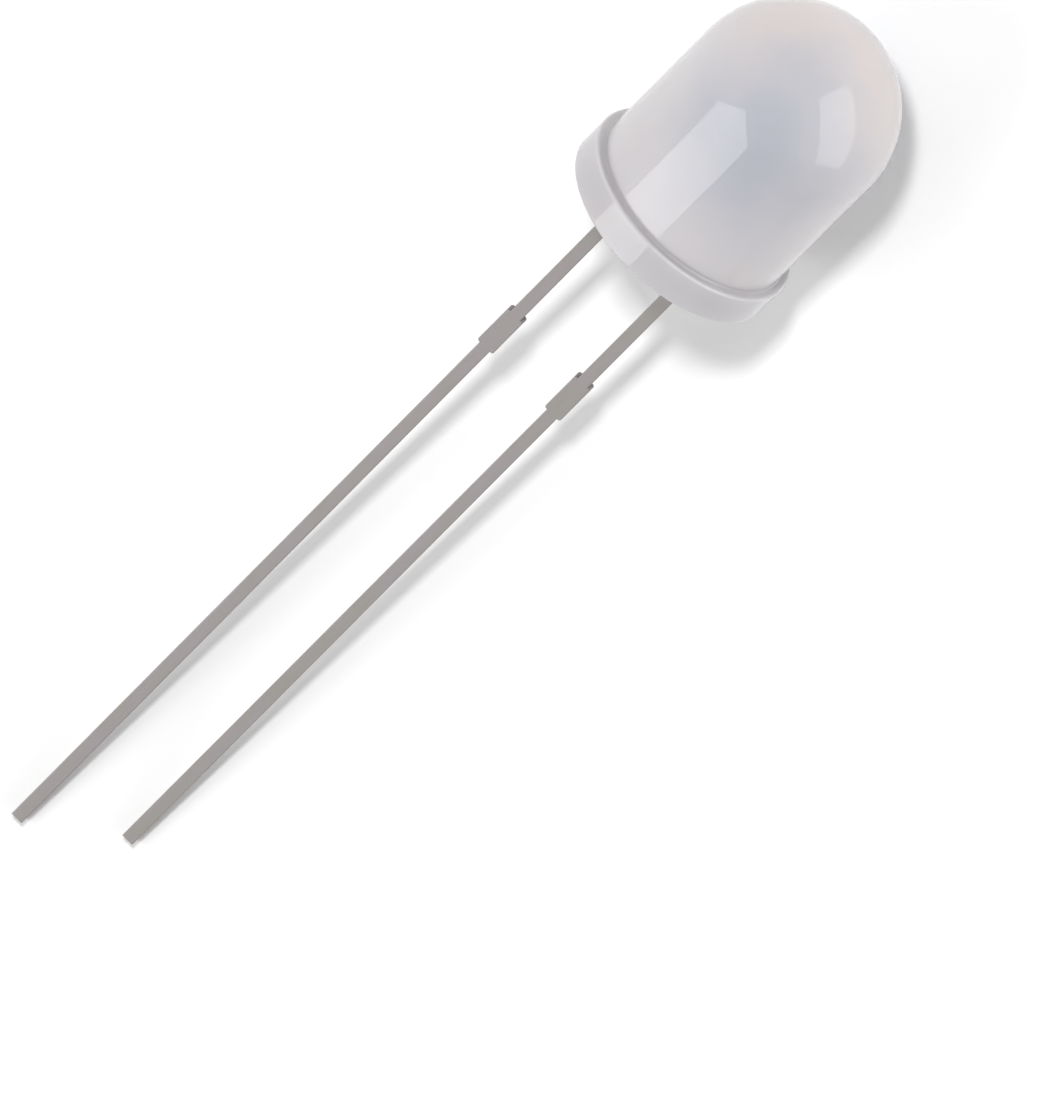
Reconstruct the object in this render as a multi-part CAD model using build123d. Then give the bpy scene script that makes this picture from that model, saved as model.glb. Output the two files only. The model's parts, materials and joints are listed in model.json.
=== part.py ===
from build123d import *
import math
import os

# Round through-hole indicator LED, 8 mm size, with a diffused resin body and two long leads.
#
# It is built standing: Z runs along the optical axis towards the dome, with Z = 0 at the
# flange's underside, where the body seats on a board. The leads are spaced along Y, and the
# strip they are stamped from is as thick along X as it is wide along Y. lay_down() then puts
# the whole LED down as a loose one rests on a table, on the rim of its flange and the tips of
# both leads: the dome points along +X and a little upwards, +Z is up, and the origin stays at
# the middle of the flange's underside.
# All sizes are in millimetres.

# ---- resin body ----
body_diameter = 8.0
body_length = 10.75  # from the seat to the tip of the dome
flange_overhang = 0.35  # all round the barrel
flange_thickness = 1.35
flange_edge_radius = 0.1  # both edges of the flange's rim
flange_root_radius = 0.1  # where the barrel rises out of the flange
seam_turn = -0.45  # degrees about the axis; changes no shape, chosen by trial so a simulated rest settles
meniscus_height = 0.25  # resin drawn up each lead under the flange
meniscus_lip = 0.016  # resin outside a lead's corners where it ends
meniscus_spread = 0.13  # how much wider its foot is
meniscus_hollow = (0.25, 0.35)  # a point of its hollow side, as shares of its spread and its height

# ---- leads, stamped from one strip ----
strip_thickness = 0.5
lead_width = 0.5
lead_pitch = 3.38
anode_length = 36.3  # below the seat
cathode_length = 33.65
strip_edge_radius = 0.04
stop_distance = 6.9  # from the seat to the remnant of the strip's tie bar
stop_width = 0.76
stop_length = 1.8
stop_corner = 0.06

# ---- heads of the leads, inside the resin ----
neck_height = 1.7  # the leads keep their width up to here
tooth_width = 0.25  # locks a lead in the resin
tooth_length = 0.6
cup_rim_height = 5.9
cup_head_height = 1.0
cup_head_radius = 0.8  # at the rim
cup_head_foot_radius = 0.55
cup_mouth_radius = 0.6
cup_floor_radius = 0.36
cup_depth = 0.45
anvil_shoulder_drop = 0.6  # from the cup's foot down to the anvil's outer corner
anvil_edge_drop = 0.3  # from the cup's foot down to the end of the anvil's sloping edge
post_neck = 3.1  # where the anode's post begins to widen
post_drop = 0.3  # from the cup's rim down to the post's top, where the wire is stitched
post_gap = 0.29  # between the cup's rim and the post

# ---- chip and wire ----
paste_radius = 0.25
paste_thickness = 0.03
chip_side = 0.3
chip_height = 0.25
wire_diameter = 0.03
ball_radius = 0.05
ball_height = 0.035
loop_clearance = 0.35  # from the cup's rim up to the crest of the loop
loop_sag = 0.06  # the crest's fall on its way out to the rim
loop_radius = 0.2
landing_run = 0.18  # the last stretch of wire, nearly level, before its stitch
landing_drop = 0.035
stitch_inset = 0.42  # from the post's inner edge
stitch_length = 0.12
stitch_width = 0.08
stitch_thickness = 0.02

# ---- how it lies ----
steepest_lie = 22.5  # degrees; the search for its lie starts between level and this
lie_halvings = 40

# ---- worked out from the sizes above ----
body_radius = body_diameter / 2
flange_radius = body_radius + flange_overhang
dome_centre = body_length - body_radius
lead_offset = lead_pitch / 2
meniscus_top_radius = math.hypot(lead_width, strip_thickness) / 2 + meniscus_lip
meniscus_foot_radius = meniscus_top_radius + meniscus_spread
cup_floor = cup_rim_height - cup_depth
cup_foot = cup_rim_height - cup_head_height
chip_base = cup_floor + paste_thickness
chip_top = chip_base + chip_height
post_height = cup_rim_height - post_drop
post_inner_edge = cup_head_radius + post_gap
stitch_centre = post_inner_edge + stitch_inset


def between(low, high):
    """Place a solid that is centred on its own height so that it fills Z from low to high."""
    return Pos(0, 0, (low + high) / 2)


def resin_shape():
    """The outer form of the casting: flange, barrel and round dome, with a meniscus at each lead."""
    with BuildPart() as casting:
        with BuildSketch(Plane.XZ):
            with BuildLine():
                FilletPolyline(
                    (0, 0),
                    (flange_radius, 0),
                    (flange_radius, flange_thickness),
                    (body_radius, flange_thickness),
                    (body_radius, dome_centre),
                    radius=[flange_edge_radius, flange_edge_radius, flange_root_radius],
                )
                CenterArc((0, dome_centre), body_radius, 0, 90)
                Line((0, body_length), (0, 0))
            make_face()
        revolve(axis=Axis.Z)
    turned = Rot(0, 0, seam_turn) * casting.part
    return turned + [Pos(0, side * lead_offset, 0) * meniscus() for side in (1, -1)]


def meniscus():
    """The hollow-sided collar of resin that creeps up a lead from the seat."""
    out, down = meniscus_hollow
    with BuildPart() as collar:
        with BuildSketch(Plane.XZ):
            with BuildLine():
                Polyline((meniscus_foot_radius, 0), (0, 0), (0, -meniscus_height),
                         (meniscus_top_radius, -meniscus_height))
                ThreePointArc(
                    (meniscus_top_radius, -meniscus_height),
                    (meniscus_top_radius + out * meniscus_spread, -down * meniscus_height),
                    (meniscus_foot_radius, 0),
                )
            make_face()
        revolve(axis=Axis.Z)
    return collar.part


def stamped(outline):
    """A closed outline of (Y, Z) points cut out of the strip, with its sheared edges eased."""
    blank = extrude(Plane.YZ * make_face(Polyline(*outline, close=True)), strip_thickness / 2, both=True)
    rims = blank.faces().sort_by(Axis.X)
    return fillet(rims[0].edges() + rims[-1].edges(), strip_edge_radius)


def lead_side(edge, outward, length):
    """One long side of a lead below the seat, from the tip up: straight but for its tie-bar remnant."""
    out = edge + outward * (stop_width - lead_width) / 2
    low = -stop_distance - stop_length
    return [
        (edge, -length),
        (edge, low),
        (out - outward * stop_corner, low),
        (out, low + stop_corner),
        (out, -stop_distance - stop_corner),
        (out - outward * stop_corner, -stop_distance),
        (edge, -stop_distance),
    ]


def toothed(edge, outward):
    """The outer side of a lead's neck, with the tooth that locks it in the resin."""
    return [
        (edge, neck_height - tooth_length),
        (edge + outward * tooth_width, neck_height - tooth_length),
        (edge + outward * tooth_width, neck_height),
        (edge, neck_height),
    ]


def anode():
    """The longer lead, which ends in the slim post that the wire is stitched to."""
    inner = lead_offset - lead_width / 2
    outer = lead_offset + lead_width / 2
    head = [
        (outer, post_height),
        (post_inner_edge, post_height),
        (post_inner_edge, post_neck + (inner - post_inner_edge)),
        (inner, post_neck),
    ]
    return stamped(
        lead_side(outer, 1, anode_length)
        + toothed(outer, 1)
        + head
        + lead_side(inner, -1, anode_length)[::-1]
    )


def cathode():
    """The shorter lead, which widens into the anvil and carries the reflector cup."""
    inner = -lead_offset + lead_width / 2
    outer = -lead_offset - lead_width / 2
    head = [
        (outer, cup_foot - anvil_shoulder_drop),
        (-cup_head_foot_radius, cup_foot),
        (-cup_head_foot_radius, cup_floor),
        (cup_head_foot_radius, cup_floor),
        (cup_head_foot_radius, cup_foot - anvil_edge_drop),
        (inner, neck_height),
    ]
    flag = stamped(
        lead_side(outer, -1, cathode_length)
        + toothed(outer, -1)
        + head
        + lead_side(inner, 1, cathode_length)[::-1]
    )
    cup = between(cup_foot, cup_rim_height) * Cone(
        cup_head_foot_radius, cup_head_radius, cup_head_height
    )
    recess = between(cup_floor, cup_rim_height) * Cone(
        cup_floor_radius, cup_mouth_radius, cup_depth
    )
    return flag + cup - recess


def die_attach():
    """The pad of silver paste under the chip."""
    return between(cup_floor, chip_base) * Cylinder(paste_radius, paste_thickness)


def chip():
    """The light-emitting die."""
    return between(chip_base, chip_top) * Box(chip_side, chip_side, chip_height)


def bond_wire():
    """The gold wire: a ball on the chip, a loop over the cup's rim and a stitch on the post."""
    crest = cup_rim_height + loop_clearance
    landing = stitch_centre - stitch_length / 2 - landing_run
    stitch_top = post_height + stitch_thickness
    path = FilletPolyline(
        (0, chip_top + ball_height / 2),
        (0, crest),
        (cup_head_radius, crest - loop_sag),
        (landing, stitch_top + landing_drop),
        (stitch_centre, stitch_top),
        radius=[loop_radius, loop_radius, loop_radius],
    )
    path = Plane.YZ * path
    section = Plane(path @ 0, z_dir=path % 0) * Circle(wire_diameter / 2)
    loop = sweep(section, path=path)
    ball = between(chip_top, chip_top + ball_height) * Cylinder(ball_radius, ball_height)
    stitch = Pos(0, stitch_centre, 0) * between(post_height, stitch_top) * Box(
        stitch_width, stitch_length, stitch_thickness
    )
    return ball + loop + stitch


def table_normal():
    """The direction that points down, out of the standing LED, when it lies on rim and lead tips.

    The table holds the line through the lowest corners of both tips, so only its turn about
    that line is open. It is closed in on until the rim touches the table too.
    """
    corner = Vector(strip_thickness / 2, lead_offset - lead_width / 2, -anode_length)
    line = Vector(0, -lead_pitch, anode_length - cathode_length).normalized()
    across = Vector(1, 0, 0).cross(line)
    low, high = 0, math.radians(steepest_lie)
    for _ in range(lie_halvings):
        turn = (low + high) / 2
        down = Vector(1, 0, 0) * math.cos(turn) + across * math.sin(turn)
        rim = math.hypot(down.X, down.Y) * (flange_radius - flange_edge_radius)
        rim += down.Z * flange_edge_radius + flange_edge_radius
        if rim > down.dot(corner):
            low = turn
        else:
            high = turn
    return down


def lay_down(shape):
    """Lay the standing LED on the table, with its dome towards +X."""
    down = table_normal()
    ahead = Vector(0, 0, 1) - down * down.Z
    table = Plane(origin=(0, 0, 0), x_dir=ahead, z_dir=-down)
    return table.location.inverse() * shape


def build():
    """Every sub-part by its node's name, standing on the seat."""
    inside = {
        "anode_lead": anode(),
        "cathode_lead": cathode(),
        "die_attach": die_attach(),
        "led_chip": chip(),
        "bond_wire": bond_wire(),
    }
    return {"resin_body": resin_shape() - list(inside.values()), **inside}


os.makedirs("parts", exist_ok=True)
for node, shape in build().items():
    export_step(lay_down(shape), f"parts/{node}.step")
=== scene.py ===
"""Dresses a through-hole LED: diffused resin body, plated leads, chip, paste and gold wire.

The LED lies on a table on the rim of its flange and the tips of its leads. Every shape here is
built in the LED's own upright frame, with the optical axis along Z, the seat at Z = 0 and the
anode on the +Y side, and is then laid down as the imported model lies. Lengths are in metres.
"""

import json
import logging
import math
from dataclasses import dataclass, field
from enum import Enum
from typing import Any, Union

import bmesh
import bpy
from mathutils import Euler, Matrix, Vector

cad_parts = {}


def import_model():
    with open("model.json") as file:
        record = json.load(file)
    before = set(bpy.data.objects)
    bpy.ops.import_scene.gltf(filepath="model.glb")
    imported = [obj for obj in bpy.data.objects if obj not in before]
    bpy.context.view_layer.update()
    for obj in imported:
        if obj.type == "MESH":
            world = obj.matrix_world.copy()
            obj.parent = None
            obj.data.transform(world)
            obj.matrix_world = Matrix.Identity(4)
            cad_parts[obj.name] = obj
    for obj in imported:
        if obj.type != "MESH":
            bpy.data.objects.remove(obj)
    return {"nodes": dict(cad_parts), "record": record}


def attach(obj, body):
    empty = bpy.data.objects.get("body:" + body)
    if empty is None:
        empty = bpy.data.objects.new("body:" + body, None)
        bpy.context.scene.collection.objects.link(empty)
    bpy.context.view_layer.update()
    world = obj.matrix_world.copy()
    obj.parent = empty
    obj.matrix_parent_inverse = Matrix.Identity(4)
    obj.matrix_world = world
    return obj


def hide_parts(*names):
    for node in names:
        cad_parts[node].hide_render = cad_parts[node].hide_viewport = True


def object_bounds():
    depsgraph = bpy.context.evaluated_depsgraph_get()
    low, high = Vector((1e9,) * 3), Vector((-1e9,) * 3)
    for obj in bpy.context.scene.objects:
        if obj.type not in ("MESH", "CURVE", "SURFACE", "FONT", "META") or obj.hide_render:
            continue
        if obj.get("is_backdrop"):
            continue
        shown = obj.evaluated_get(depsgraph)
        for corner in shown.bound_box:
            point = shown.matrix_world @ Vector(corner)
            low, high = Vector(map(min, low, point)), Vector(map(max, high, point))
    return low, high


MM = 0.001
WATTS_PER_RADIANCE = 4.0  # an area lamp's power, for each square metre of it

Socket = bpy.types.NodeSocket
Feed = Union[Socket, bpy.types.ID, float, int, bool, str, tuple[float, ...]]
Range = tuple[float, float]
Point = tuple[float, float, float]
Colour = tuple[float, float, float, float]

log = logging.getLogger("led")


# ---------------------------------------------------------------- node trees


class Graph:
    """A node tree under construction, with short calls to add nodes and join them."""

    def __init__(self, tree: bpy.types.NodeTree) -> None:
        """Empties the tree.

        Args:
            tree: The shader or geometry node tree to build in.
        """
        self.tree = tree
        tree.nodes.clear()

    def feed(self, socket: Socket, value: Feed) -> None:
        """Links an input, or sets its own value.

        Args:
            socket: The input.
            value: A value, or the socket to link from.
        """
        if isinstance(value, bpy.types.NodeSocket):
            self.tree.links.new(value, socket)
        else:
            socket.default_value = value

    def add(
        self, kind: str, inputs: dict[str | int, Feed] | None = None, **settings: Any
    ) -> bpy.types.Node:
        """Adds one node.

        Args:
            kind: The node's type name.
            inputs: Its inputs by name or number, each a value or a socket to link from.
            **settings: Properties set on the node itself.

        Returns:
            The new node.
        """
        node = self.tree.nodes.new(kind)
        for name, setting in settings.items():
            setattr(node, name, setting)
        for key, value in (inputs or {}).items():
            self.feed(node.inputs[key], value)
        return node

    def math(self, operation: str, *values: Feed, clamp: bool = False) -> Socket:
        """Adds a Math node.

        Args:
            operation: The Math node's operation.
            *values: One to three numbers or sockets.
            clamp: Whether the result is held between 0 and 1.

        Returns:
            The result's socket.
        """
        inputs = dict(enumerate(values))
        return self.add("ShaderNodeMath", inputs, operation=operation, use_clamp=clamp).outputs[0]

    def vector(self, operation: str, *values: Feed) -> bpy.types.Node:
        """Adds a Vector Math node."""
        return self.add("ShaderNodeVectorMath", dict(enumerate(values)), operation=operation)

    def split(self, vector: Socket) -> bpy.types.NodeOutputs:
        """The outputs that hold a vector's X, Y and Z."""
        return self.add("ShaderNodeSeparateXYZ", {0: vector}).outputs

    def merge(self, x: Feed, y: Feed, z: Feed) -> Socket:
        """The vector of three numbers."""
        return self.add("ShaderNodeCombineXYZ", {"X": x, "Y": y, "Z": z}).outputs[0]

    def span(self, value: Socket, taken: Range, given: Range, kind: str = "LINEAR") -> Socket:
        """Maps a value from one range onto another, held at its ends.

        Args:
            value: The socket to map.
            taken: The range that it comes in.
            given: What the two ends of that range become.
            kind: How it runs between them.

        Returns:
            The mapped value's socket.
        """
        numbers = dict(enumerate((value, *taken, *given)))
        return self.add("ShaderNodeMapRange", numbers, interpolation_type=kind).outputs[0]

    def blend(self, factor: Socket, first: Feed, second: Feed) -> Socket:
        """Mixes two colours.

        Args:
            factor: The share of the second colour.
            first: A colour or a socket.
            second: A colour or a socket.

        Returns:
            The mixed colour's socket.
        """
        node = self.add("ShaderNodeMix", data_type="RGBA")
        inputs = {socket.identifier: socket for socket in node.inputs}
        self.feed(inputs["Factor_Float"], factor)
        self.feed(inputs["A_Color"], first)
        self.feed(inputs["B_Color"], second)
        return next(socket for socket in node.outputs if socket.identifier == "Result_Color")


def rgb(red: float, green: float, blue: float) -> Colour:
    """A solid colour as the sockets take it."""
    return (red, green, blue, 1.0)


def placed(name: str, data: bpy.types.ID) -> bpy.types.Object:
    """Puts a new object in the scene.

    Args:
        name: The object's name.
        data: Its mesh, lamp or camera.

    Returns:
        The object, at the origin.
    """
    item = bpy.data.objects.new(name, data)
    bpy.context.scene.collection.objects.link(item)
    return item


# ---------------------------------------------------------------- the LED's own frame


@dataclass
class Posture:
    """How the LED lies: its upright frame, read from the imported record's mounts."""

    record: dict[str, Any]
    mounts: dict[str, dict[str, Any]] = field(init=False)
    seat: Vector = field(init=False)
    axis: Vector = field(init=False)
    across: Vector = field(init=False)
    top: Vector = field(init=False)

    def __post_init__(self) -> None:
        """Works out the three directions of the upright frame."""
        self.mounts = {m["name"]: m for m in self.record["mounts"]}
        self.seat = self.place_of("board_seat")
        self.axis = -Vector(self.mounts["board_seat"]["axis"]).normalized()
        span = self.place_of("anode_pin") - self.place_of("cathode_pin")
        self.across = (span - self.axis * span.dot(self.axis)).normalized()
        self.top = self.axis.cross(self.across).normalized()

    def place_of(self, mount: str) -> Vector:
        """Where the mount of that name is."""
        return Vector(self.mounts[mount]["pos_m"])

    @property
    def down_to_table(self) -> Matrix:
        """The matrix that lays an upright shape on the table."""
        turn = Matrix((-self.top, self.across, self.axis)).transposed()
        return Matrix.Translation(self.seat) @ turn.to_4x4()

    @property
    def upright_angles(self) -> Euler:
        """The angles by which a Mapping node stands the lying LED upright again."""
        return self.down_to_table.to_3x3().transposed().to_euler("XYZ")

    def height_of(self, mount: str) -> float:
        """How far a mount's point lies from the seat along the axis.

        Args:
            mount: The mount's name.

        Returns:
            The distance in metres, negative on the leads' side.
        """
        return (self.place_of(mount) - self.seat).dot(self.axis)


# ---------------------------------------------------------------- finishes


@dataclass(frozen=True)
class Finish:
    """A surface finish, whose patterns stand in the LED's upright frame."""

    posture: Posture

    def start(self, name: str) -> tuple[bpy.types.Material, Graph, Socket]:
        """Makes an empty material.

        Args:
            name: The material's name.

        Returns:
            The material, its node graph and the upright coordinates in metres.
        """
        material = bpy.data.materials.new(name)
        material.use_nodes = True
        graph = Graph(material.node_tree)
        place = graph.add("ShaderNodeTexCoord").outputs["Object"]
        upright = graph.add("ShaderNodeMapping", {"Vector": place}, vector_type="POINT")
        upright.inputs["Rotation"].default_value = self.posture.upright_angles
        return material, graph, upright.outputs["Vector"]

    def noise(self, graph: Graph, place: Socket, size: Point, detail: float) -> Socket:
        """Adds noise whose grains have a real size.

        Args:
            graph: The graph to add to.
            place: The coordinates' socket.
            size: The grain's size along X, Y and Z, in metres.
            detail: The noise's number of octaves.

        Returns:
            The socket of the noise, from 0 to 1.
        """
        scaled = graph.vector("MULTIPLY", place, tuple(1.0 / s for s in size)).outputs[0]
        inputs = {"Vector": scaled, "Scale": 1.0, "Detail": detail}
        return graph.add("ShaderNodeTexNoise", inputs).outputs[0]

    def relief(self, graph: Graph, height: Socket, depth: float) -> Socket:
        """Adds bump of a real depth in metres, from a height between 0 and 1."""
        inputs = {"Height": height, "Distance": depth, "Strength": 1.0}
        return graph.add("ShaderNodeBump", inputs).outputs[0]

    def close(self, graph: Graph, inputs: dict[str, Feed]) -> None:
        """Ends the graph with a Principled shader, given its inputs."""
        shader = graph.add("ShaderNodeBsdfPrincipled", inputs)
        graph.add("ShaderNodeOutputMaterial", {"Surface": shader.outputs[0]})


@dataclass(frozen=True)
class DiffusedResin(Finish):
    """Cast epoxy with a milky diffusant: hazy inside, with a polished moulded skin, and colour that carries
    painted shade and a painted highlight.
    """

    milk: Colour = rgb(0.655, 0.635, 0.665)
    # painted shade: a darker, bluer tone where the lead's head is seen through the haze
    seen_through_shade: Colour = rgb(0.465, 0.485, 0.545)
    # a warm tone, given at random by the clouds and as a painted highlight towards the dome's top
    warm_tone_and_highlight: Colour = rgb(0.70, 0.635, 0.62)
    # painted shade for the ledge under the barrel and the flange
    shade: Colour = rgb(0.36, 0.35, 0.37)
    # where the painted see-through shade sits, how far it reaches and how it fades
    ghost_place: Point = (3.2 * MM, -0.3 * MM, 7.0 * MM)
    ghost_reach: Point = (3.6 * MM, 3.7 * MM, 4.9 * MM)
    ghost_fade: Range = (0.1, 1.15)  # in shares of its reach
    ghost_rag: float = 0.5
    # how wide and how strong the painted shade is at the ledge and on the flange
    ledge_shade_band: float = 0.13 * MM
    ledge_shade_strength: float = 0.5
    flange_shade_strength: float = 0.26
    # painted highlight: warmer resin towards the dome's top, between these heights
    painted_highlight_heights: Range = (7.0 * MM, 10.0 * MM)
    painted_highlight_share: float = 0.65
    warm_clouds: float = 0.35
    cloud_size: float = 2.6 * MM
    cloud_span: Range = (0.35, 0.7)
    haze_size: float = 0.5 * MM
    haze_span: Range = (0.3, 0.7)
    haze_roughness: Range = (0.44, 0.54)
    ripple_size: float = 0.9 * MM
    ripple_depth: float = 0.0008 * MM
    refraction: float = 1.52
    scatter: float = 0.6
    scatter_depth: float = 0.9 * MM
    see_through: float = 0.15
    skin_roughness: float = 0.015

    def seen_through_shade_strength(self, graph: Graph, place: Socket, clouds: Socket) -> Socket:
        """How strongly painted shade stands for the lead's broad head seen through the haze, on both of its
        flat sides.

        Args:
            graph: The graph to add to.
            place: The upright coordinates.
            clouds: Noise that makes the painted shade's edge uneven.

        Returns:
            The socket of the painted shade's strength.
        """
        at = graph.split(place)
        both_sides = graph.merge(graph.math("ABSOLUTE", at["X"]), at["Y"], at["Z"])
        offset = graph.vector("SUBTRACT", both_sides, self.ghost_place).outputs[0]
        reach = tuple(1.0 / r for r in self.ghost_reach)
        scaled = graph.vector("MULTIPLY", offset, reach).outputs[0]
        away = graph.vector("LENGTH", scaled).outputs["Value"]
        rag = graph.math("MULTIPLY", graph.math("SUBTRACT", clouds, 0.5), self.ghost_rag)
        return graph.span(graph.math("ADD", away, rag), self.ghost_fade, (1.0, 0.0), "SMOOTHSTEP")

    def root(self, graph: Graph, height: Socket) -> Socket:
        """Painted shade: the resin darkened in the narrow ledge under the barrel and, a little, on the
        flange.

        Args:
            graph: The graph to add to.
            height: The height above the seat.

        Returns:
            The socket of the painted shade's strength.
        """
        ledge = self.posture.height_of("panel_shoulder")
        core = self.ledge_shade_band / 3
        away = graph.math("ABSOLUTE", graph.math("SUBTRACT", height, ledge + core))
        band = graph.span(away, (core, self.ledge_shade_band), (self.ledge_shade_strength, 0.0))
        flange = graph.span(height, (ledge - self.ledge_shade_band, ledge), (self.flange_shade_strength, 0.0))
        return graph.math("MAXIMUM", band, flange)

    def build(self) -> bpy.types.Material:
        """Makes the material.

        Returns:
            The finished material.
        """
        material, graph, place = self.start("diffused_resin")
        clouds = self.noise(graph, place, (self.cloud_size,) * 3, 2.0)
        haze = self.noise(graph, place, (self.haze_size,) * 3, 3.0)
        ripple = self.noise(graph, place, (self.ripple_size,) * 3, 1.0)
        height = graph.split(place)["Z"]
        # random warm clouds plus a painted warm highlight towards the dome's top
        warmth_and_highlight = graph.math(
            "ADD",
            graph.span(clouds, self.cloud_span, (0.0, self.warm_clouds)),
            graph.span(height, self.painted_highlight_heights, (0.0, self.painted_highlight_share)),
        )
        tint = graph.blend(warmth_and_highlight, self.milk, self.warm_tone_and_highlight)
        # painted shade where the lead's head shows through the haze
        with_seen_through_shade = graph.blend(self.seen_through_shade_strength(graph, place, clouds), tint, self.seen_through_shade)
        self.close(
            graph,
            {
                # painted shade at the ledge and on the flange
                "Base Color": graph.blend(self.root(graph, height), with_seen_through_shade, self.shade),
                "Roughness": graph.span(haze, self.haze_span, self.haze_roughness),
                "IOR": self.refraction,
                "Subsurface Weight": self.scatter,
                "Subsurface Radius": (1.0, 1.0, 1.0),
                "Subsurface Scale": self.scatter_depth,
                "Transmission Weight": self.see_through,
                "Coat Weight": 1.0,
                "Coat Roughness": self.skin_roughness,
                "Coat IOR": self.refraction,
                "Coat Normal": self.relief(graph, ripple, self.ripple_depth),
            },
        )
        return material


@dataclass(frozen=True)
class PlatedStrip(Finish):
    """Matt tin plate on rolled steel strip, drawn along the lead and clouded by handling."""

    plate: Colour = rgb(0.295, 0.27, 0.28)
    bloom: Colour = rgb(0.305, 0.288, 0.268)
    pit: Colour = rgb(0.18, 0.172, 0.165)
    rolled_size: Point = (0.02 * MM, 0.02 * MM, 2.5 * MM)
    blotch_size: Point = (0.5 * MM, 0.5 * MM, 1.6 * MM)
    grain_size: float = 0.035 * MM
    blotch_span: Range = (0.35, 0.65)
    grain_span: Range = (0.3, 0.75)
    pit_strength: float = 0.35
    rolled_share: float = 0.6
    depth: float = 0.004 * MM
    metal: float = 0.65
    gloss_span: Range = (0.3, 0.7)
    roughness: Range = (0.42, 0.56)

    def build(self) -> bpy.types.Material:
        """Makes the material.

        Returns:
            The finished material.
        """
        material, graph, place = self.start("plated_lead")
        rolled = self.noise(graph, place, self.rolled_size, 2.0)
        blotch = self.noise(graph, place, self.blotch_size, 3.0)
        grain = self.noise(graph, place, (self.grain_size,) * 3, 2.0)
        mottled = graph.blend(graph.span(blotch, self.blotch_span, (0.0, 1.0)), self.plate, self.bloom)
        pitted = graph.span(grain, self.grain_span, (0.0, self.pit_strength))
        height = graph.math(
            "ADD",
            graph.math("MULTIPLY", rolled, self.rolled_share),
            graph.math("MULTIPLY", grain, 1.0 - self.rolled_share),
        )
        self.close(
            graph,
            {
                "Base Color": graph.blend(pitted, mottled, self.pit),
                "Metallic": self.metal,
                "Roughness": graph.span(blotch, self.gloss_span, self.roughness),
                "Normal": self.relief(graph, height, self.depth),
            },
        )
        return material


@dataclass(frozen=True)
class Grained(Finish):
    """A finish whose colour, gloss and relief all follow one grain."""

    name: str
    low: Colour
    high: Colour
    grain: Point
    detail: float = 2.0
    tone_span: Range = (0.35, 0.65)
    gloss_span: Range = (0.3, 0.7)
    roughness: Range = (0.25, 0.5)
    metal: float = 0.0
    depth: float = 0.002 * MM

    def build(self) -> bpy.types.Material:
        """Makes the material.

        Returns:
            The finished material.
        """
        material, graph, place = self.start(self.name)
        grain = self.noise(graph, place, self.grain, self.detail)
        self.close(
            graph,
            {
                "Base Color": graph.blend(graph.span(grain, self.tone_span, (0.0, 1.0)), self.low, self.high),
                "Metallic": self.metal,
                "Roughness": graph.span(grain, self.gloss_span, self.roughness),
                "Normal": self.relief(graph, grain, self.depth),
            },
        )
        return material


@dataclass(frozen=True)
class Crystal(Grained):
    """A sawn semiconductor die, amber and faintly striped by the saw."""

    name: str = "chip_crystal"
    low: Colour = rgb(0.55, 0.40, 0.12)
    high: Colour = rgb(0.38, 0.26, 0.08)
    grain: Point = (0.2 * MM, 0.2 * MM, 0.012 * MM)


@dataclass(frozen=True)
class SilverPaste(Grained):
    """Epoxy filled with silver flakes, dull and grainy."""

    name: str = "silver_paste"
    low: Colour = rgb(0.42, 0.41, 0.40)
    high: Colour = rgb(0.68, 0.68, 0.67)
    grain: Point = (0.02 * MM, 0.02 * MM, 0.02 * MM)
    detail: float = 3.0
    tone_span: Range = (0.4, 0.6)
    roughness: Range = (0.45, 0.7)
    metal: float = 0.6
    depth: float = 0.004 * MM


@dataclass(frozen=True)
class GoldWire(Grained):
    """Drawn gold wire with faint die marks."""

    name: str = "gold_wire"
    low: Colour = rgb(0.90, 0.66, 0.28)
    high: Colour = rgb(0.76, 0.52, 0.20)
    grain: Point = (0.01 * MM, 0.03 * MM, 0.03 * MM)
    roughness: Range = (0.2, 0.32)
    metal: float = 1.0
    depth: float = 0.001 * MM


# ---------------------------------------------------------------- shapes by Geometry Nodes


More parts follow.
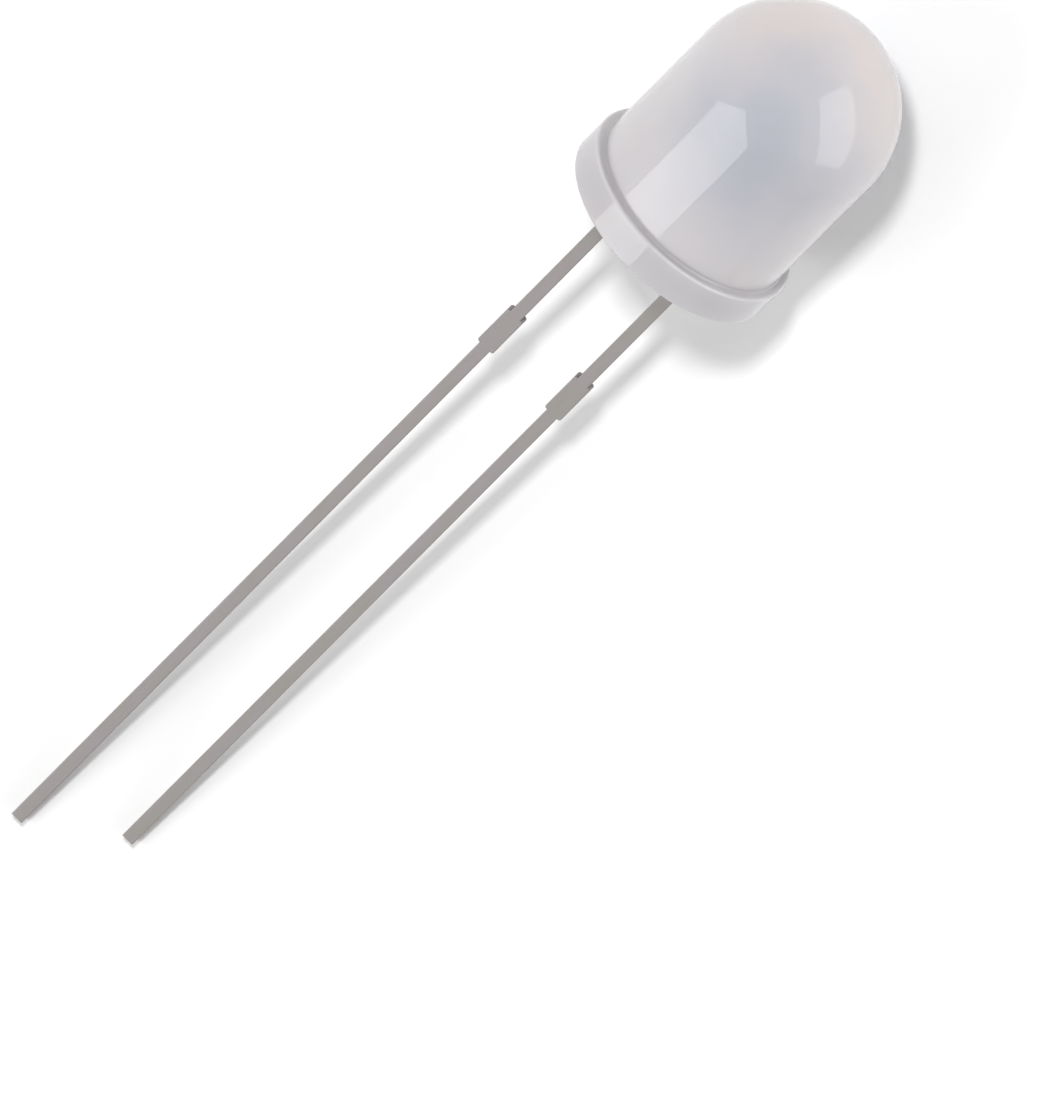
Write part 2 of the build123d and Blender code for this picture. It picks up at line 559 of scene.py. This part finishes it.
class Shaper:
    """Runs a geometry node tree on an outline and keeps the result as a plain mesh."""

    def __init__(self, name: str, sizes: dict[str, tuple[str, Feed]]) -> None:
        """Starts the tree with its named inputs.

        Args:
            name: The tree's name.
            sizes: Each input's socket type and value by its name.
        """
        self.tree = bpy.data.node_groups.new(name, "GeometryNodeTree")
        face = self.tree.interface
        face.new_socket("Outline", in_out="INPUT", socket_type="NodeSocketGeometry")
        self.values = {
            face.new_socket(label, in_out="INPUT", socket_type=kind).identifier: value
            for label, (kind, value) in sizes.items()
        }
        face.new_socket("Shape", in_out="OUTPUT", socket_type="NodeSocketGeometry")
        self.graph = Graph(self.tree)
        self.given = self.graph.add("NodeGroupInput").outputs

    def finish(self, geometry: Socket) -> None:
        """Ends the tree: smooth shading, instances made real and the finish.

        Args:
            geometry: The socket of the shape.
        """
        graph = self.graph
        smooth = graph.add("GeometryNodeSetShadeSmooth", {"Geometry": geometry}).outputs[0]
        real = graph.add("GeometryNodeRealizeInstances", {"Geometry": smooth}).outputs[0]
        inputs = {"Geometry": real, "Material": self.given["Finish"]}
        dressed = graph.add("GeometryNodeSetMaterial", inputs).outputs[0]
        graph.add("NodeGroupOutput", {"Shape": dressed})

    def make(self, name: str, points: list[Point]) -> bpy.types.Object:
        """Runs the tree on an open outline.

        Args:
            name: The new object's name.
            points: The outline's points in order.

        Returns:
            An object with the finished mesh, still in the upright frame.
        """
        outline = bpy.data.meshes.new(name + "_outline")
        outline.from_pydata(points, [(i, i + 1) for i in range(len(points) - 1)], [])
        blank = placed(name + "_blank", outline)
        modifier = blank.modifiers.new("shape", "NODES")
        modifier.node_group = self.tree
        for identifier, value in self.values.items():
            modifier[identifier] = value
        bpy.context.view_layer.update()
        graph = bpy.context.evaluated_depsgraph_get()
        mesh = bpy.data.meshes.new_from_object(blank.evaluated_get(graph), depsgraph=graph)
        mesh.name = name
        bpy.data.objects.remove(blank)
        return placed(name, mesh)


class TurnedShape(Shaper):
    """Turns an outline of radii and heights about the axis."""

    def __init__(self, facets: int, material: bpy.types.Material, weld: float = 1e-7) -> None:
        """Builds the tree.

        Args:
            facets: How many facets go round.
            material: The finish of the turned shape.
            weld: Points nearer than this become one, at the seam and on the axis.
        """
        sizes = {
            "Facets": ("NodeSocketInt", facets),
            "Weld": ("NodeSocketFloat", weld),
            "Finish": ("NodeSocketMaterial", material),
        }
        super().__init__("turned", sizes)
        moved = self.wrapped(self.graph, self.given["Outline"])
        inputs = {"Geometry": moved, "Distance": self.given["Weld"]}
        self.finish(self.graph.add("GeometryNodeMergeByDistance", inputs).outputs[0])

    def wrapped(self, graph: Graph, outline: Socket) -> Socket:
        """Wraps a square sheet round the axis, with its rows at the outline's points.

        Args:
            graph: The tree's graph.
            outline: The socket of the outline.

        Returns:
            The socket of the wrapped sheet, still open at its seam.
        """
        size = graph.add("GeometryNodeAttributeDomainSize", {"Geometry": outline})
        rows = size.outputs["Point Count"]
        columns = graph.math("ADD", self.given["Facets"], 1.0)
        sheet = graph.add(
            "GeometryNodeMeshGrid",
            {"Size X": 1.0, "Size Y": 1.0, "Vertices X": columns, "Vertices Y": rows},
        ).outputs["Mesh"]
        spot = graph.add("GeometryNodeInputPosition").outputs[0]
        at = graph.split(spot)
        along, up = graph.math("ADD", at["X"], 0.5), graph.math("ADD", at["Y"], 0.5)
        turn = graph.math("MULTIPLY", along, math.tau)
        row = graph.math("ROUND", graph.math("MULTIPLY", up, graph.math("SUBTRACT", rows, 1.0)))
        taken = graph.add(
            "GeometryNodeSampleIndex",
            {"Geometry": outline, "Value": spot, "Index": row},
            data_type="FLOAT_VECTOR",
            domain="POINT",
        ).outputs[0]
        drawn = graph.split(taken)
        ring = graph.merge(
            graph.math("MULTIPLY", drawn["X"], graph.math("COSINE", turn)),
            graph.math("MULTIPLY", drawn["X"], graph.math("SINE", turn)),
            drawn["Z"],
        )
        return graph.add("GeometryNodeSetPosition", {"Geometry": sheet, "Position": ring}).outputs[0]


class DrawnWire(Shaper):
    """Draws a round wire along an outline and rounds its bends."""

    def __init__(
        self,
        radius: float,
        bend: float,
        material: bpy.types.Material,
        bend_steps: int = 12,
        facets: int = 20,
    ) -> None:
        """Builds the tree.

        Args:
            radius: The wire's radius.
            bend: The radius of its bends.
            material: The finish of the wire.
            bend_steps: How many points each bend is rounded with.
            facets: How many facets go round the wire.
        """
        sizes = {
            "Radius": ("NodeSocketFloat", radius),
            "Bend": ("NodeSocketFloat", bend),
            "Bend Steps": ("NodeSocketInt", bend_steps),
            "Facets": ("NodeSocketInt", facets),
            "Finish": ("NodeSocketMaterial", material),
        }
        super().__init__("drawn_wire", sizes)
        graph, given = self.graph, self.given
        line = graph.add("GeometryNodeMeshToCurve", {0: given["Outline"]}).outputs[0]
        inputs = {"Curve": line, "Count": given["Bend Steps"], "Radius": given["Bend"], "Limit Radius": True}
        bent = graph.add("GeometryNodeFilletCurve", inputs, mode="POLY").outputs[0]
        inputs = {"Resolution": given["Facets"], "Radius": given["Radius"]}
        ring = graph.add("GeometryNodeCurvePrimitiveCircle", inputs).outputs[0]
        inputs = {"Curve": bent, "Profile Curve": ring, "Fill Caps": True}
        self.finish(graph.add("GeometryNodeCurveToMesh", inputs).outputs[0])


# ---------------------------------------------------------------- pieces


@dataclass
class Measure:
    """What a CAD node measures in the LED's upright frame."""

    posture: Posture
    node: bpy.types.Object
    points: list[Vector] = field(init=False)

    def __post_init__(self) -> None:
        """Stands the node's points upright."""
        stand = self.posture.down_to_table.inverted()
        self.points = [stand @ v.co for v in self.node.data.vertices]

    @property
    def top(self) -> float:
        """The highest point along the axis."""
        return max(p.z for p in self.points)

    @property
    def bottom(self) -> float:
        """The lowest point along the axis."""
        return min(p.z for p in self.points)

    @property
    def side(self) -> float:
        """The furthest point towards the anode's side."""
        return max(p.y for p in self.points)

    def radius(self, above: float = -math.inf) -> float:
        """The widest radius about the axis.

        Args:
            above: Only points from this height up count.

        Returns:
            The radius in metres.
        """
        return max(math.hypot(p.x, p.y) for p in self.points if p.z >= above)


def arc(centre: Range, radius: float, start: float, end: float, steps: int) -> list[Range]:
    """Points of an arc in the outline's plane.

    Args:
        centre: Its centre, as radius and height.
        radius: Its radius.
        start: Its first angle in degrees, from the outward direction.
        end: Its last angle in degrees.
        steps: How many pieces it is drawn in.

    Returns:
        The points, both ends among them.
    """
    turns = [math.radians(start + (end - start) * i / steps) for i in range(steps + 1)]
    return [(centre[0] + radius * math.cos(t), centre[1] + radius * math.sin(t)) for t in turns]


def stood(outline: list[Range]) -> list[Point]:
    """An outline of radii and heights, stood in the XZ plane."""
    return [(radius, 0.0, height) for radius, height in outline]


def joined(name: str, parts: list[bpy.types.Object]) -> bpy.types.Object:
    """Joins objects into one.

    Args:
        name: The joined object's name.
        parts: The objects, the first of which keeps its material slots.

    Returns:
        The joined object.
    """
    with bpy.context.temp_override(active_object=parts[0], selected_editable_objects=parts):
        bpy.ops.object.join()
    parts[0].name = name
    parts[0].data.name = name
    return parts[0]


def laid_down(piece: bpy.types.Object, posture: Posture) -> None:
    """Lays an upright piece on the table and turns its faces outwards.

    Args:
        piece: The piece, whose mesh is changed.
        posture: How the LED lies.
    """
    piece.data.transform(posture.down_to_table)
    work = bmesh.new()
    work.from_mesh(piece.data)
    bmesh.ops.recalc_face_normals(work, faces=work.faces)
    work.to_mesh(piece.data)
    work.free()
    piece.data.update()


@dataclass
class ResinBody:
    """The casting: flange, barrel and dome in one turned piece, with a collar at each lead."""

    posture: Posture
    cad: Measure
    finish: DiffusedResin
    edge_radius: float = 0.1 * MM
    root_radius: float = 0.1 * MM
    collar_spread: float = 0.13 * MM
    collar_lip: float = 0.016 * MM
    lead_width: float = 0.5 * MM
    hold: float = 0.03 * MM  # from each rounded edge to the row that keeps its shading narrow
    facets: int = 224
    collar_facets: int = 64
    seat_rows: int = 6
    edge_rows: int = 8
    wall_rows: int = 5
    dome_rows: int = 48
    collar_rows: int = 10

    def outline(self) -> list[Range]:
        """The half outline of the casting, from the middle of its seat up to the dome's tip.

        Returns:
            Its points as radius and height.
        """
        length, rim = self.cad.top, self.cad.radius()
        barrel = self.cad.radius(above=length / 2)
        step = self.posture.height_of("panel_shoulder")
        edge, root, hold = self.edge_radius, self.root_radius, self.hold
        spring = length - barrel
        seat = [(rim * i / self.seat_rows, 0.0) for i in range(self.seat_rows)]
        seat += [(rim - edge - hold, 0.0)]
        low = arc((rim - edge, edge), edge, -90, 0, self.edge_rows)
        side = [(rim, edge + hold), (rim, step / 2), (rim, step - edge - hold)]
        high = arc((rim - edge, step - edge), edge, 0, 90, self.edge_rows)
        ledge = [(rim - edge - hold, step), (barrel + root + hold, step)]
        fillet = arc((barrel + root, step + root), root, 270, 180, self.edge_rows)
        wall = [(barrel, step + root + hold)]
        rise = (spring - step) / self.wall_rows
        wall += [(barrel, step + rise * i) for i in range(1, self.wall_rows)]
        dome = arc((0.0, spring), barrel, 0, 90, self.dome_rows)
        return seat + low + side + high + ledge + fillet + wall + dome[:-1] + [(0.0, length)]

    def collar_outline(self) -> list[Range]:
        """The half outline of the resin drawn up a lead, from its end round to inside the casting.

        Returns:
            Its points as radius and height.
        """
        drop = self.cad.bottom
        sunk = -drop / 4
        top = self.lead_width / math.sqrt(2) + self.collar_lip
        foot = top + self.collar_spread
        turns = [math.radians(90 * i / self.collar_rows) for i in range(self.collar_rows)]
        hollow = [
            (foot - self.collar_spread * math.sin(t), drop * (1 - math.cos(t))) for t in turns
        ]
        return [(0.0, drop), (top, drop)] + hollow[::-1] + [(foot, sunk), (0.0, sunk)]

    def build(self) -> bpy.types.Object:
        """Turns the casting and its collars and joins them.

        Returns:
            The finished piece, lying as the LED lies.
        """
        material = self.finish.build()
        parts = [TurnedShape(self.facets, material).make("casting", stood(self.outline()))]
        collars = TurnedShape(self.collar_facets, material)
        for mount in ("anode_pin", "cathode_pin"):
            offset = self.posture.place_of(mount).dot(self.posture.across)
            collar = collars.make(mount + "_collar", stood(self.collar_outline()))
            collar.data.transform(Matrix.Translation((0.0, offset, 0.0)))
            parts.append(collar)
        piece = joined("diffused_resin_body", parts)
        laid_down(piece, self.posture)
        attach(piece, "root")
        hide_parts("resin_body")
        return piece


@dataclass
class BondWire:
    """The gold wire: a ball on the chip, a loop over the cup's rim and a stitch on the post."""

    posture: Posture
    cad: Measure
    chip: Measure
    cup: Measure
    post: Measure
    finish: GoldWire
    radius: float = 0.015 * MM
    bend: float = 0.2 * MM
    sag: float = 0.06 * MM
    ball_radius: float = 0.05 * MM
    ball_height: float = 0.035 * MM
    ball_facets: int = 32
    ball_rows: int = 10
    rim_depth: float = 0.01 * MM  # how far below the cup's top its rim is measured
    landing_run: float = 0.18 * MM
    landing_drop: float = 0.035 * MM
    stitch: Point = (0.08 * MM, 0.12 * MM, 0.02 * MM)

    @property
    def stitch_centre(self) -> float:
        """How far the stitch's middle lies from the axis."""
        return self.cad.side - self.stitch[1] / 2

    def path(self) -> list[Point]:
        """The wire's centre line, before its bends are rounded.

        Returns:
            Its points in the upright frame.
        """
        crest = self.cad.top - self.radius
        rim = self.cup.radius(above=self.cup.top - self.rim_depth)
        end = self.stitch_centre
        landing = end - self.stitch[1] / 2 - self.landing_run
        top = self.post.top + self.stitch[2]
        return [
            (0.0, 0.0, self.chip.top + self.ball_height / 2),
            (0.0, 0.0, crest),
            (0.0, rim, crest - self.sag),
            (0.0, landing, top + self.landing_drop),
            (0.0, end, top),
        ]

    def ball(self, material: bpy.types.Material) -> bpy.types.Object:
        """The squashed ball that bonds the wire to the chip.

        Args:
            material: Its finish.

        Returns:
            The ball in the upright frame.
        """
        half = self.ball_height / 2
        side = arc((self.ball_radius - half, half), half, -90, 90, self.ball_rows)
        outline = [(0.0, 0.0)] + side + [(0.0, self.ball_height)]
        ball = TurnedShape(self.ball_facets, material).make("wire_ball", stood(outline))
        ball.data.transform(Matrix.Translation((0.0, 0.0, self.chip.top)))
        return ball

    def stitch_pad(self, material: bpy.types.Material) -> bpy.types.Object:
        """The flattened end of the wire on the post.

        Args:
            material: Its finish.

        Returns:
            The pad in the upright frame.
        """
        wide, long, thick = self.stitch
        corners = [
            (x * wide / 2, self.stitch_centre + y * long / 2, self.post.top + z * thick)
            for x in (-1, 1)
            for y in (-1, 1)
            for z in (0, 1)
        ]
        sides = [(0, 1, 3, 2), (4, 6, 7, 5), (0, 4, 5, 1), (2, 3, 7, 6), (0, 2, 6, 4), (1, 5, 7, 3)]
        mesh = bpy.data.meshes.new("stitch_pad")
        mesh.from_pydata(corners, [], sides)
        mesh.materials.append(material)
        return placed("stitch_pad", mesh)

    def build(self) -> bpy.types.Object:
        """Draws the wire, turns its ball and adds its stitch.

        Returns:
            The finished piece, lying as the LED lies.
        """
        material = self.finish.build()
        loop = DrawnWire(self.radius, self.bend, material).make("wire_loop", self.path())
        piece = joined("gold_bond_wire", [loop, self.ball(material), self.stitch_pad(material)])
        laid_down(piece, self.posture)
        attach(piece, "root")
        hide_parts("bond_wire")
        return piece


class NodeDress(Enum):
    """Which CAD nodes are shown as they are, and the finish of each."""

    ANODE_LEAD = ("anode_lead", PlatedStrip)
    CATHODE_LEAD = ("cathode_lead", PlatedStrip)
    DIE_ATTACH = ("die_attach", SilverPaste)
    LED_CHIP = ("led_chip", Crystal)

    @property
    def node(self) -> str:
        """The CAD node's name."""
        return self.value[0]

    @property
    def finish(self) -> type[Finish]:
        """The class of its finish."""
        return self.value[1]


@dataclass
class ShownNodes:
    """The CAD nodes that keep their own shape."""

    posture: Posture
    nodes: dict[str, bpy.types.Object]

    def build(self) -> None:
        """Gives each shown node its finish."""
        made: dict[type[Finish], bpy.types.Material] = {}
        for dress in NodeDress:
            if dress.finish not in made:
                made[dress.finish] = dress.finish(self.posture).build()
            mesh = self.nodes[dress.node].data
            mesh.materials.clear()
            mesh.materials.append(made[dress.finish])
            log.info("%s: %s", dress.node, made[dress.finish].name)


# ---------------------------------------------------------------- the table and the studio


@dataclass
class Table:
    """A plain white table top under the LED."""

    height: float
    size: float = 0.9
    white: float = 0.93
    lift: float = 0.07

    def build(self) -> bpy.types.Object:
        """Makes the table top.

        Returns:
            The table top, marked as the stage.
        """
        half = self.size / 2
        mesh = bpy.data.meshes.new("table_top")
        corners = [(-half, -half), (half, -half), (half, half), (-half, half)]
        mesh.from_pydata([(x, y, self.height) for x, y in corners], [], [(0, 1, 2, 3)])
        mesh.materials.append(self.paper())
        top = placed("table_top", mesh)
        top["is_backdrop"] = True
        return top

    def paper(self) -> bpy.types.Material:
        """White paper that keeps shadows and looks white to the camera.

        Returns:
            The material.
        """
        material = bpy.data.materials.new("white_paper")
        material.use_nodes = True
        graph = Graph(material.node_tree)
        seen = graph.add("ShaderNodeLightPath").outputs["Is Camera Ray"]
        paper = graph.add("ShaderNodeBsdfDiffuse", {"Color": rgb(self.white, self.white, self.white)})
        glow = graph.add("ShaderNodeEmission", {"Strength": graph.math("MULTIPLY", seen, self.lift)})
        both = graph.add("ShaderNodeAddShader", {0: paper.outputs[0], 1: glow.outputs[0]})
        graph.add("ShaderNodeOutputMaterial", {"Surface": both.outputs[0]})
        return material


class Upright(Enum):
    """Which direction of the LED a softbox's height follows."""

    TOP = "top"
    AXIS = "axis"


@dataclass(frozen=True)
class Softbox:
    """A rectangular soft lamp that faces the LED.

    Its direction from the LED is given as the camera sees it, with the dome turned up: right,
    up and near.
    """

    name: str
    toward: Point
    distance: float
    width: float
    height: float
    radiance: float
    upright: Upright
    in_gloss: bool

    def hang(self, out: Vector, upright: Vector, target: Vector) -> bpy.types.Object:
        """Hangs the lamp.

        Args:
            out: The direction from the LED to the lamp.
            upright: The direction that its height follows.
            target: The point that it faces.

        Returns:
            The lamp.
        """
        lamp = bpy.data.lights.new(self.name, "AREA")
        lamp.shape = "RECTANGLE"
        lamp.size, lamp.size_y = self.width, self.height
        lamp.energy = self.radiance * WATTS_PER_RADIANCE * self.width * self.height
        held = placed(self.name, lamp)
        side = upright.cross(out).normalized()
        turn = Matrix((side, out.cross(side), out)).transposed().to_4x4()
        held.matrix_world = Matrix.Translation(target + out * self.distance) @ turn
        held.visible_camera = False
        held.visible_glossy = held.visible_transmission = self.in_gloss
        return held


SOFTBOXES = (
    Softbox(
        name="window_softbox", toward=(-0.43, -0.81, 0.40), distance=0.30,
        width=0.20, height=0.20, radiance=1.7, upright=Upright.TOP, in_gloss=True,
    ),
    Softbox(
        name="side_softbox", toward=(0.80, 0.42, 0.38), distance=0.30,
        width=0.44, height=0.36, radiance=1.22, upright=Upright.TOP, in_gloss=True,
    ),
    Softbox(
        name="key_softbox", toward=(-0.28, 0.09, 1.21), distance=0.35,
        width=0.04, height=0.04, radiance=98.0, upright=Upright.AXIS, in_gloss=False,
    ),
    Softbox(
        name="fill_softbox", toward=(-0.80, -0.10, 0.70), distance=0.30,
        width=0.22, height=0.22, radiance=0.6, upright=Upright.AXIS, in_gloss=False,
    ),
)


@dataclass
class Studio:
    """A white room with four softboxes, and the camera that looks down over the dome."""

    posture: Posture
    ambient: float = 0.29
    tilt: float = 30.0
    lens: float = 900.0
    sensor: float = 36.0
    frame_height: float = 38.8 * MM
    aside: float = 4.23 * MM
    below: float = 11.84 * MM
    lit_height: float = 5 * MM  # the point of the axis that the softboxes face
    clip_start: float = 0.01

    @property
    def toward_camera(self) -> Vector:
        """The direction from the LED to the camera."""
        lean = math.radians(self.tilt)
        return self.posture.top * math.cos(lean) + self.posture.axis * math.sin(lean)

    @property
    def dome_up(self) -> Vector:
        """The direction in the picture's plane in which the dome points."""
        lean = math.radians(self.tilt)
        return self.posture.axis * math.cos(lean) - self.posture.top * math.sin(lean)

    def direction(self, right: float, up: float, near: float) -> Vector:
        """A direction given as seen by the camera with the dome turned up.

        Args:
            right: Towards the cathode's side.
            up: Along the dome's direction in the picture's plane.
            near: Towards the camera.

        Returns:
            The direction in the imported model's frame.
        """
        return self.dome_up * up - self.posture.across * right + self.toward_camera * near

    def room(self) -> None:
        """Sets the world: an even light, white to the camera, in gloss and through resin."""
        world = bpy.data.worlds.new("white_room")
        bpy.context.scene.world = world
        world.use_nodes = True
        graph = Graph(world.node_tree)
        path = graph.add("ShaderNodeLightPath").outputs
        direct = graph.math("ADD", path["Is Camera Ray"], path["Is Glossy Ray"], clamp=True)
        shown = graph.math("ADD", direct, path["Is Transmission Ray"], clamp=True)
        strength = graph.span(shown, (0.0, 1.0), (self.ambient, 1.0))
        inputs = {"Strength": strength, "Color": rgb(1.0, 1.0, 1.0)}
        background = graph.add("ShaderNodeBackground", inputs)
        graph.add("ShaderNodeOutputWorld", {"Surface": background.outputs[0]})

    def lights(self) -> None:
        """Hangs the softboxes."""
        target = self.posture.seat + self.posture.axis * self.lit_height
        for box in SOFTBOXES:
            upright = getattr(self.posture, box.upright.value)
            box.hang(self.direction(*box.toward).normalized(), upright, target)
            log.info("%s: radiance %g", box.name, box.radiance)

    def camera(self) -> None:
        """Sets up the camera, turned so that the dome points to the picture's upper right."""
        lens = bpy.data.cameras.new("camera")
        lens.lens, lens.sensor_width = self.lens, self.sensor
        camera = placed("camera", lens)
        centre = self.posture.seat + self.direction(self.aside, -self.below, 0.0)
        away = self.frame_height * self.lens / self.sensor
        right = self.direction(1.0, 1.0, 0.0).normalized()
        up = self.direction(-1.0, 1.0, 0.0).normalized()
        turn = Matrix((right, up, self.toward_camera)).transposed().to_4x4()
        camera.matrix_world = Matrix.Translation(centre + self.toward_camera * away) @ turn
        lens.clip_start, lens.clip_end = self.clip_start, 2 * away
        bpy.context.scene.camera = camera

    def build(self) -> None:
        """Lights the room and places the camera."""
        self.room()
        self.lights()
        self.camera()
        bpy.context.scene.view_settings.view_transform = "Standard"


def main() -> None:
    """Builds the LED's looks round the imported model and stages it."""
    logging.basicConfig(level=logging.INFO, format="%(name)s %(message)s")
    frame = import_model()
    cad_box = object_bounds()
    nodes = frame["nodes"]
    posture = Posture(frame["record"])
    ShownNodes(posture, nodes).build()
    sizes = {name: Measure(posture, node) for name, node in nodes.items()}
    body = ResinBody(posture, sizes["resin_body"], DiffusedResin(posture))
    wire = BondWire(
        posture,
        cad=sizes["bond_wire"],
        chip=sizes["led_chip"],
        cup=sizes["cathode_lead"],
        post=sizes["anode_lead"],
        finish=GoldWire(posture),
    )
    table = Table(height=cad_box[0].z)
    for made in (body, wire, table):
        piece = made.build()
        log.info("%s: %d faces", piece.name, len(piece.data.polygons))
    Studio(posture).build()


if __name__ == "__main__":
    main()
